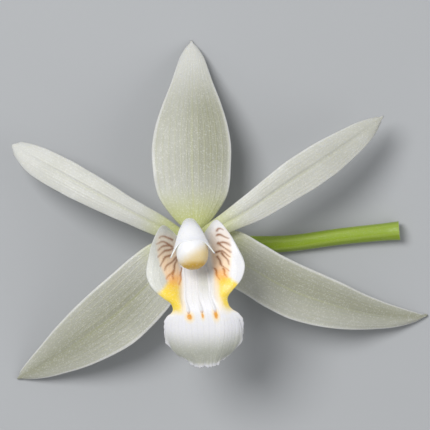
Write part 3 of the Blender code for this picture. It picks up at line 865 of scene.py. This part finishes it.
def stalk_mesh(sizes, material):
    """The ovary and the stalk that it narrows to: ribbed, with a flat cut at the far end."""
    share = np.linspace(0.0, 1.0, STALK_POINTS)
    x, y, height, radius, ribbed = columns(STALK_LINE, share)
    points = np.stack((x * MM + sizes.heart[0], y * MM + sizes.heart[1], height * MM), axis=-1)
    source = line_object("stalk_line", [points], {"share": share, "thick": radius * MM, "ribbed": ribbed})
    mesh = grown_mesh(source, ribbed_stalk_tree(), {
        "Ribs": sizes.rib_count, "Rib Depth": sizes.rib_depth, "Twist": sizes.rib_twist,
        "Facets": STALK_FACETS, "Material": material})
    dish_cut(mesh)
    return mesh


def dish_cut(mesh):
    """Sinks the flat end of the stalk a little, as a fresh cut dries, and marks it."""
    with edited(mesh) as bm:
        share, cut = bm.verts.layers.float["share"], bm.verts.layers.float.new("cut")

        def mark_cut(verts):
            for vert in verts:
                vert[share] = vert[cut] = 1.0

        caps = [face for face in bm.faces if len(face.verts) == STALK_FACETS]
        end = max(caps, key=lambda face: face.verts[0][share])
        for inset, sink in CUT_STEPS:
            bmesh.ops.inset_region(bm, faces=[end], thickness=inset * MM, depth=-sink * MM,
                                   use_even_offset=True)
            mark_cut(end.verts)
        mark_cut(bmesh.ops.poke(bm, faces=[end])["verts"])


def keels_mesh(sizes, material):
    """The lip's three keels, from deep in the channel to the marks at the foot of the middle lobe."""
    share = np.linspace(*KEEL_SPAN, KEEL_POINTS)
    along = np.linspace(0.0, 1.0, KEEL_POINTS)
    right = np.array((*turned(1.0, 0.0, sizes.lip_turn), 0.0))
    lines, ups = [], []
    for place in KEEL_SIDES:
        point = turned_middle_lobe(curve_points(LIP_FLOOR, share) * (place, 1.0, 1.0), share)
        line = from_lip(sizes, *point.T)
        up = unit(np.cross(np.gradient(line, axis=0), right))
        lines.append(line + up * (sizes.lip_middle / 2 - KEEL_SUNK * sizes.keel_width))
        ups.append(up)
    knob = 1.0 + KEEL_KNOB_SIZE * hump(along, *KEEL_KNOB)
    marks = {"thick": eased(along, *KEEL_START_RUN) * knob * eased(along, *KEEL_END_RUN),
             "spots": KEEL_MARK * eased(along, *KEEL_MARK_RUN), "upper": np.ones(KEEL_POINTS),
             "shade": np.full(KEEL_POINTS, KEEL_SHADE)}
    marks = {title: np.tile(values, len(lines)) for title, values in marks.items()}
    source = line_object("keel_lines", lines, {**marks, "up": np.concatenate(ups)})
    return grown_mesh(source, warty_keel_tree(), {
        "Half Width": sizes.keel_width, "Warts": sizes.keel_warts, "Material": material})


class Nodes:
    """The nodes of one tree. A socket takes a plain value or another node's output."""

    def __init__(self, tree):
        self.tree = tree

    def feed(self, node, sockets):
        for key, value in sockets.items():
            if isinstance(value, bpy.types.NodeSocket):
                self.tree.links.new(value, node.inputs[key])
            else:
                node.inputs[key].default_value = value

    def add(self, kind, sockets=None, **settings):
        """The outputs of a new node."""
        made = self.tree.nodes.new(kind)
        for key, value in settings.items():
            setattr(made, key, value)
        self.feed(made, sockets or {})
        return made.outputs

    def math(self, operation, *values):
        return self.add("ShaderNodeMath", dict(enumerate(values)), operation=operation)[0]

    def scaled(self, value, factor, plus=0.0):
        return self.math("MULTIPLY_ADD", value, factor, plus)

    def vector_math(self, operation, sockets):
        return self.add("ShaderNodeVectorMath", sockets, operation=operation)[0]

    def mixed(self, factor, first, second):
        """Two colours mixed, through the places that a Mix node has for colours."""
        return self.add("ShaderNodeMix", {0: factor, 6: first, 7: second}, data_type="RGBA")[2]

    def stepped(self, value, low, high, top=1.0):
        """0 below low and top above high, with a smooth step between; low may be the larger."""
        sockets = {"Value": value, "From Min": low, "From Max": high, "To Min": 0.0, "To Max": top}
        return self.add("ShaderNodeMapRange", sockets, interpolation_type="SMOOTHSTEP")[0]

    def at_places(self, kind, scale, **sockets):
        """A texture that is laid out by places on the object."""
        place = self.add("ShaderNodeTexCoord")["Object"]
        return self.add(kind, {"Vector": place, "Scale": scale, **sockets})

    def noise(self, scale, detail):
        return self.at_places("ShaderNodeTexNoise", scale, Detail=detail)["Fac"]

    def mark(self, name):
        """A number that the piece's mesh holds at each point, in a material."""
        return self.add("ShaderNodeAttribute", attribute_name=name)["Fac"]

    def named(self, name, data_type="FLOAT"):
        """The same in Geometry Nodes."""
        return self.add("GeometryNodeInputNamedAttribute", {"Name": name}, data_type=data_type)["Attribute"]

    def stored(self, geometry, name, value, data_type="FLOAT"):
        sockets = {"Geometry": geometry, "Name": name, "Value": value}
        return self.add("GeometryNodeStoreNamedAttribute", sockets, data_type=data_type)[0]

    def group(self, name, builder, sockets):
        """The shared group of this name, which is built when it is first asked for."""
        tree = bpy.data.node_groups.get(name) or builder(name)
        placed = self.tree.nodes.new("ShaderNodeGroup")
        placed.node_tree = tree
        self.feed(placed, sockets)
        return placed.outputs


class Group(Nodes):
    """A node group. Its inputs and outputs are given as names with defaults, which also say their types.

    One with None for a default is a geometry or a material, as its name says.
    """

    def __init__(self, name, kind, inputs, outputs):
        super().__init__(bpy.data.node_groups.new(name, kind))
        for side, sockets in (("INPUT", inputs), ("OUTPUT", outputs)):
            for title, default in sockets.items():
                sort = {int: "Int", float: "Float"}.get(type(default), title)
                made = self.tree.interface.new_socket(title, in_out=side, socket_type="NodeSocket" + sort)
                if default is not None:
                    made.default_value = default
        self.given = self.add("NodeGroupInput")
        self.out = self.tree.nodes.new("NodeGroupOutput")

    def curve_and_circle(self, facets):
        """The lines of points that the group is given, as a curve, and a circle to run along it."""
        curve = self.add("GeometryNodeMeshToCurve", {"Mesh": self.given["Geometry"]})[0]
        sockets = {"Resolution": facets, "Radius": 1.0}
        return curve, self.add("GeometryNodeCurvePrimitiveCircle", sockets, mode="RADIUS")[0]

    def tube(self, curve, circle, radius):
        sockets = {"Curve": curve, "Profile Curve": circle, "Scale": radius, "Fill Caps": True}
        return self.add("GeometryNodeCurveToMesh", sockets)[0]

    def finished(self, geometry):
        """The tree, closed with smooth shading, plain geometry and the material."""
        shaded = self.add("GeometryNodeSetShadeSmooth", {"Geometry": geometry})[0]
        real = self.add("GeometryNodeRealizeInstances", {"Geometry": shaded})[0]
        sockets = {"Geometry": real, "Material": self.given["Material"]}
        self.feed(self.out, {"Geometry": self.add("GeometryNodeSetMaterial", sockets)[0]})
        return self.tree


def ribbed_stalk_tree():
    """A tube along a line of points, as thick as each point says, with ribs that wind round it."""
    inputs = {"Geometry": None, "Ribs": 6, "Rib Depth": 0.09, "Twist": 3.5, "Facets": 96, "Material": None}
    nodes = Group("Ribbed stalk", "GeometryNodeTree", inputs, {"Geometry": None})
    given = nodes.given
    line, circle = nodes.curve_and_circle(given["Facets"])
    place = nodes.add("GeometryNodeInputPosition")[0]
    line = nodes.stored(line, "centre", place, "FLOAT_VECTOR")
    circle = nodes.stored(circle, "around", nodes.add("GeometryNodeSplineParameter")["Factor"])
    tube = nodes.tube(line, circle, nodes.named("thick"))
    turns = nodes.scaled(nodes.named("around"), given["Ribs"])
    wound = nodes.scaled(nodes.named("share"), given["Twist"])
    tube = nodes.stored(tube, "crest", nodes.math("COSINE", nodes.scaled(turns, 2 * math.pi, wound)))
    depth = nodes.scaled(given["Rib Depth"], nodes.named("ribbed"))
    growth = nodes.scaled(nodes.named("crest"), depth, 1.0)
    centre = nodes.named("centre", "FLOAT_VECTOR")
    arm = nodes.vector_math("SUBTRACT", {0: place, 1: centre})
    grown = nodes.vector_math("SCALE", {0: arm, "Scale": growth})
    moved = nodes.vector_math("ADD", {0: grown, 1: centre})
    return nodes.finished(nodes.add("GeometryNodeSetPosition", {"Geometry": tube, "Position": moved})[0])


def warty_keel_tree():
    """A low crest along each line of points, with a row of small warts on it."""
    inputs = {"Geometry": None, "Half Width": 0.00017, "Warts": 26, "Seed": 4, "Material": None}
    nodes = Group("Warty keel", "GeometryNodeTree", inputs, {"Geometry": None})
    given = nodes.given
    line, circle = nodes.curve_and_circle(KEEL_FACETS)
    radius = nodes.scaled(nodes.named("thick"), given["Half Width"])
    crest = nodes.tube(line, circle, radius)
    spaced = nodes.add("GeometryNodeResampleCurve", {"Curve": line, "Count": given["Warts"]})[0]
    lifted = nodes.vector_math("SCALE", {0: nodes.named("up", "FLOAT_VECTOR"), "Scale": radius})
    spaced = nodes.add("GeometryNodeSetPosition", {"Geometry": spaced, "Offset": lifted})[0]
    wart = nodes.add("GeometryNodeMeshIcoSphere", {"Radius": 1.0, "Subdivisions": 2})[0]
    smallest, largest = WART_SIZES
    uneven = nodes.add("FunctionNodeRandomValue", {2: smallest, 3: largest, "Seed": given["Seed"]},
                       data_type="FLOAT")[1]
    sockets = {"Points": spaced, "Instance": wart, "Scale": nodes.scaled(radius, uneven)}
    joined = nodes.tree.nodes.new("GeometryNodeJoinGeometry")
    for part in (crest, nodes.add("GeometryNodeInstanceOnPoints", sockets)[0]):
        nodes.feed(joined, {"Geometry": part})
    return nodes.finished(joined.outputs[0])


def tissue_group(name):
    """The fine look of living tissue: domed cells, glints and soft mottling, as masks and a height."""
    inputs = {"Cells per Metre": 6000.0, "Mottle per Metre": 500.0}
    nodes = Group(name, "ShaderNodeTree", inputs, {"Height": 0.0, "Glint": 0.0, "Mottle": 0.0})
    cells = nodes.at_places("ShaderNodeTexVoronoi", nodes.given["Cells per Metre"])
    dome = nodes.math("SUBTRACT", 1.0, cells["Distance"])
    tone = nodes.add("ShaderNodeSeparateColor", {"Color": cells["Color"]})[0]
    nodes.feed(nodes.out, {
        "Height": nodes.scaled(nodes.noise(nodes.given["Cells per Metre"], 2.0), 0.5, dome),
        "Glint": nodes.stepped(tone, GLINT_TONE, 1.0),
        "Mottle": nodes.noise(nodes.given["Mottle per Metre"], 3.0)})
    return nodes.tree


def veins_group(name):
    """Fine lines that run the length of a sheet: 1 on a vein and 0 between."""
    inputs = {"Side": 0.0, "Veins": 8.0, "Wander": 0.5}
    nodes = Group(name, "ShaderNodeTree", inputs, {"Lines": 0.0})
    turns = nodes.scaled(nodes.given["Side"], nodes.given["Veins"])
    wandering = nodes.scaled(nodes.noise(WANDER_PER_METRE, 1.0), nodes.given["Wander"], turns)
    wave = nodes.math("COSINE", nodes.scaled(wandering, 2 * math.pi))
    nodes.feed(nodes.out, {"Lines": nodes.stepped(wave, VEIN_CREST, 1.0)})
    return nodes.tree


class Skin(Nodes):
    """A tissue's material. Its colour is laid on in layers, each as strong as its mask says."""

    def __init__(self, name, colours, ground, veins=None):
        self.material = bpy.data.materials.new(name)
        self.material.use_nodes = True
        super().__init__(self.material.node_tree)
        self.colours = colours
        self.colour = getattr(colours, ground)
        cells, mottles, *self.finish = TISSUES[name]
        sockets = {"Cells per Metre": cells, "Mottle per Metre": mottles}
        self.tissue = self.group("Tissue", tissue_group, sockets)
        self.mottle, self.height = self.tissue["Mottle"], self.tissue["Height"]
        if veins:
            count, wandering = veins
            sockets = {"Side": self.mark("side"), "Veins": count, "Wander": wandering}
            self.veins = self.group("Long veins", veins_group, sockets)["Lines"]
            self.height = self.scaled(self.veins, VEIN_BUMP, self.height)

    def layer(self, mask, colour):
        """Lays on a colour, given by its name or as a socket."""
        over = getattr(self.colours, colour) if isinstance(colour, str) else colour
        self.colour = self.mixed(mask, self.colour, over)

    def finished(self):
        """The material, with the tissue's painted glints, roughness, relief and soft depth."""
        roughness, relief, flesh, painted_glint = self.finish
        # painted glints: highlights painted white on the brightest cells
        self.layer(self.scaled(self.tissue["Glint"], painted_glint), "painted_glint")
        uneven = self.scaled(self.mottle, MOTTLE_ROUGHNESS, roughness + GLINT_ROUGHNESS)
        sockets = {"Height": self.height, "Strength": BUMP_STRENGTH, "Distance": relief}
        self.feed(self.tree.nodes["Principled BSDF"], {
            "Base Color": self.colour, "Subsurface Weight": flesh, **SOFT_DEPTH,
            "Roughness": self.scaled(self.tissue["Glint"], GLINT_ROUGHNESS, uneven),
            "Normal": self.add("ShaderNodeBump", sockets)["Normal"]})
        return self.material


def tepal_material(colours):
    """Satin white, with painted shade greying the midline, yellow-green at the foot, faintly veined."""
    skin = Skin("tepal_white", colours, "tepal", TEPAL_VEINS)
    share = skin.mark("share")
    # the painted shade
    skin.layer(skin.mark("painted_shade"), "tepal_shade")
    skin.layer(skin.scaled(skin.mottle, TEPAL_BLOTCH), "tepal_shade")
    skin.layer(skin.scaled(skin.veins, TEPAL_VEIN_TINT), "tepal_foot")
    midrib = skin.stepped(skin.math("ABSOLUTE", skin.mark("across")), *MIDRIB_STEP)
    skin.layer(skin.scaled(midrib, skin.stepped(share, *MIDRIB_END_STEP)), "tepal_foot")
    skin.layer(skin.stepped(share, *TEPAL_FOOT_STEP), "tepal_foot")
    skin.layer(skin.scaled(skin.mark("upper"), -TEPAL_UNDER_TINT, TEPAL_UNDER_TINT), "tepal_shade")
    return skin.finished()


def lip_material(colours, name):
    """White, with a veined blush in the side lobes, a yellow waist, orange marks and a shaded tip."""
    skin = Skin(name, colours, "lip", LIP_VEINS)
    upper = skin.stepped(skin.mark("upper"), *LIP_UPPER_STEP)

    def seen(name):
        """The mark of this name, as strong as its tint on top of the lip and fainter under it."""
        tint = skin.scaled(upper, LIP_TINTS[name] - LIP_UNDER_TINT, LIP_UNDER_TINT)
        return skin.scaled(skin.mark(name), tint)

    skin.layer(skin.scaled(skin.veins, LIP_VEIN_TINT), "lip_shade")
    skin.layer(seen("shade"), "lip_shade")
    skin.layer(seen("blush"), "blush")
    ragged = skin.scaled(skin.mottle, YELLOW_RAGGED, seen("yellow"))
    skin.layer(skin.stepped(ragged, *YELLOW_STEP), "yellow")
    skin.layer(seen("orange"), "orange")
    skin.layer(seen("halos"), "halo")
    skin.layer(seen("spots"), "mark")
    skin.layer(seen("veins"), skin.mixed(skin.mark("low"), colours.vein, colours.vein_low))
    return skin.finished()


def column_material(colours):
    """Waxy white, pale green at the foot and in the hollow of the hood."""
    skin = Skin("column_white", colours, "column")
    skin.layer(skin.stepped(skin.mark("share"), *COLUMN_FOOT_STEP), "column_foot")
    skin.layer(skin.scaled(skin.mark("inside"), HOLLOW_TINT), "column_foot")
    return skin.finished()


def cap_material(colours):
    """White to cream, partly painted shade on the right, deepening to an ochre band across the front."""
    skin = Skin("anther_cream", colours, "column")
    ahead, aside = skin.mark("ahead"), skin.mark("aside")
    # the cream reaches further back on the right, partly as painted shade
    skin.layer(skin.stepped(skin.scaled(aside, CAP_RIGHT_CREAM_AND_SHADE, ahead), *CAP_CREAM_STEP), "cap")
    across = skin.stepped(skin.math("ABSOLUTE", aside), *CAP_BAND_SIDE)
    band = skin.scaled(skin.stepped(ahead, *CAP_BAND_AHEAD), across)
    skin.layer(skin.scaled(band, skin.stepped(skin.mark("upward"), *CAP_BAND_LEVEL)), "cap_front")
    return skin.finished()


def pollen_material(colours):
    """Waxy yellow."""
    skin = Skin("pollen_yellow", colours, "pollen")
    skin.layer(skin.scaled(skin.mottle, POLLEN_BLOTCH), "mark")
    return skin.finished()


def stalk_material(colours):
    """Satin green, paler at the flower, partly as a painted highlight, and on the crests of the ribs."""
    skin = Skin("stalk_green", colours, "stalk")
    # paler towards the flower, partly a painted highlight
    skin.layer(skin.stepped(skin.mark("share"), *STALK_PALE_AND_HIGHLIGHT_STEP), "stalk_pale")
    skin.layer(skin.stepped(skin.mark("crest"), *STALK_CREST_STEP), "stalk_pale")
    skin.layer(skin.scaled(skin.mottle, STALK_BLOTCH), "stalk")
    skin.layer(skin.mark("cut"), "cut")
    return skin.finished()


def floor_material(stage):
    """Plain pale paper, very softly mottled."""
    material = bpy.data.materials.new("pale_floor")
    material.use_nodes = True
    nodes = Nodes(material.node_tree)
    dimmer = (*(channel * FLOOR_DIM for channel in stage.floor[:3]), 1.0)
    paper = nodes.mixed(nodes.noise(*FLOOR_MOTTLE), stage.floor, dimmer)
    nodes.feed(nodes.tree.nodes["Principled BSDF"], {"Base Color": paper, "Roughness": FLOOR_ROUGHNESS})
    return material


def add_light(name, place, power, size):
    """A soft round light at the place, aimed at the flower."""
    light = bpy.data.lights.new(name, "AREA")
    light.shape = "DISK"
    light.energy = power
    light.size = size
    made = new_object(name, light)
    made.location = place
    made.rotation_euler = (-Vector(place)).to_track_quat("-Z", "Y").to_euler()


class ORCHID_OT_add_tepals(bpy.types.Operator):
    """Add the three sepals and the two petals"""

    bl_idname = "orchid.add_tepals"
    bl_label = "Sepals and petals"

    def execute(self, context):
        material = tepal_material(context.scene.orchid_colours)
        for seed, (node, tepal) in enumerate(TEPALS.items()):
            mesh = tepal_mesh(node + "_blade", tepal, context.scene.orchid_sizes, 2 * seed)
            finish_piece(node + "_blade", mesh, material, node)
        return {"FINISHED"}


class ORCHID_OT_add_lip(bpy.types.Operator):
    """Add the marked lip and its three keels"""

    bl_idname = "orchid.add_lip"
    bl_label = "Lip"

    def execute(self, context):
        sizes, colours = context.scene.orchid_sizes, context.scene.orchid_colours
        finish_piece("lip_blade", lip_mesh(sizes), lip_material(colours, "lip_marked"), "lip")
        keels = lip_material(colours, "lip_keel")
        finish_piece("lip_keels", keels_mesh(sizes, keels), keels, "lip")
        return {"FINISHED"}


class ORCHID_OT_add_column(bpy.types.Operator):
    """Add the hooded column and the anther cap"""

    bl_idname = "orchid.add_column"
    bl_label = "Column and anther cap"

    def execute(self, context):
        sizes, colours = context.scene.orchid_sizes, context.scene.orchid_colours
        finish_piece("column_body", column_mesh(sizes), column_material(colours), "column")
        cap = cap_material(colours)
        finish_piece("anther_cap_shell", cap_mesh(sizes), cap, "anther_cap")
        return {"FINISHED"}


class ORCHID_OT_add_pollen(bpy.types.Operator):
    """Add the four pollen masses under the anther cap"""

    bl_idname = "orchid.add_pollen"
    bl_label = "Pollen masses"

    def execute(self, context):
        sizes, material = context.scene.orchid_sizes, pollen_material(context.scene.orchid_colours)
        x, y, rise = ANTHER_AT
        for corner, (across, up) in POLLEN_CORNERS.items():
            node = "pollinium_" + corner
            centre = (x + across * POLLEN_STEP, y + up * POLLEN_STEP, rise - POLLEN_DROP)
            mesh = ball(node + "_mass", centre, POLLEN_SIZE, POLLEN_FACETS, sizes, pollen_shape)
            finish_piece(node + "_mass", mesh, material, node)
        return {"FINISHED"}


class ORCHID_OT_add_stalk(bpy.types.Operator):
    """Add the ribbed ovary with the stalk that it narrows to"""

    bl_idname = "orchid.add_stalk"
    bl_label = "Ovary and stalk"

    def execute(self, context):
        material = stalk_material(context.scene.orchid_colours)
        mesh = stalk_mesh(context.scene.orchid_sizes, material)
        finish_piece("ovary_and_pedicel_skin", mesh, material, "ovary_and_pedicel")
        return {"FINISHED"}


class ORCHID_OT_add_stage(bpy.types.Operator):
    """Add the floor, the lights and the camera"""

    bl_idname = "orchid.add_stage"
    bl_label = "Floor, lights and camera"

    def execute(self, context):
        scene, stage = context.scene, context.scene.orchid_stage
        half = FLOOR_SIDE / 2
        corners = [(x * half, y * half, -FLOOR_GAP) for x, y in ((-1, -1), (1, -1), (1, 1), (-1, 1))]
        mesh = bpy.data.meshes.new("floor")
        mesh.from_pydata(corners, [], [(0, 1, 2, 3)])
        mesh.materials.append(floor_material(stage))
        floor = new_object("floor", mesh)

        add_light("key_light", KEY_AT, stage.key_power, KEY_SIZE)
        add_light("fill_light", FILL_AT, stage.fill_power, FILL_SIZE)
        scene.world = bpy.data.worlds.new("soft_surroundings")
        scene.world.use_nodes = True
        nodes = Nodes(scene.world.node_tree)
        nodes.feed(nodes.tree.nodes["Background"], {"Color": stage.sky, "Strength": stage.sky_strength})
        scene.view_settings.view_transform = "Standard"

        camera = bpy.data.cameras.new("camera")
        camera.lens = camera.sensor_width * stage.camera_distance / stage.picture_width
        camera.clip_start = CLIP_START
        camera.clip_end = CLIP_END
        scene.camera = new_object("camera", camera)
        x, y, level = stage.camera_over
        scene.camera.location = (x, y, level + stage.camera_distance)
        return {"FINISHED"}


class ORCHID_PT_panel(bpy.types.Panel):
    """Lists the steps that build the flower"""

    bl_label = "Coelogyne Flower"
    bl_idname = "ORCHID_PT_panel"
    bl_space_type = "VIEW_3D"
    bl_region_type = "UI"
    bl_category = "Orchid"

    def draw(self, context):
        for step in STEPS:
            self.layout.operator(step.bl_idname)
        for group in GROUPS:
            values = getattr(context.scene, group)
            box = self.layout.box()
            for title in values.bl_rna.properties.keys():
                if title not in ("name", "rna_type"):
                    box.prop(values, title)


GROUPS = {"orchid_sizes": OrchidSizes, "orchid_colours": OrchidColours, "orchid_stage": OrchidStage}
STEPS = (ORCHID_OT_add_tepals, ORCHID_OT_add_lip, ORCHID_OT_add_column, ORCHID_OT_add_pollen,
         ORCHID_OT_add_stalk, ORCHID_OT_add_stage)
CLASSES = (*GROUPS.values(), *STEPS, ORCHID_PT_panel)


def register():
    for made in CLASSES:
        bpy.utils.register_class(made)
    for name, group in GROUPS.items():
        setattr(bpy.types.Scene, name, bpy.props.PointerProperty(type=group))


def unregister():
    for name in GROUPS:
        delattr(bpy.types.Scene, name)
    for made in reversed(CLASSES):
        bpy.utils.unregister_class(made)


def main():
    register()
    bpy.ops.orchid.add_tepals()
    bpy.ops.orchid.add_lip()
    bpy.ops.orchid.add_column()
    bpy.ops.orchid.add_pollen()
    bpy.ops.orchid.add_stalk()
    bpy.ops.orchid.add_stage()


if __name__ == "__main__":
    main()
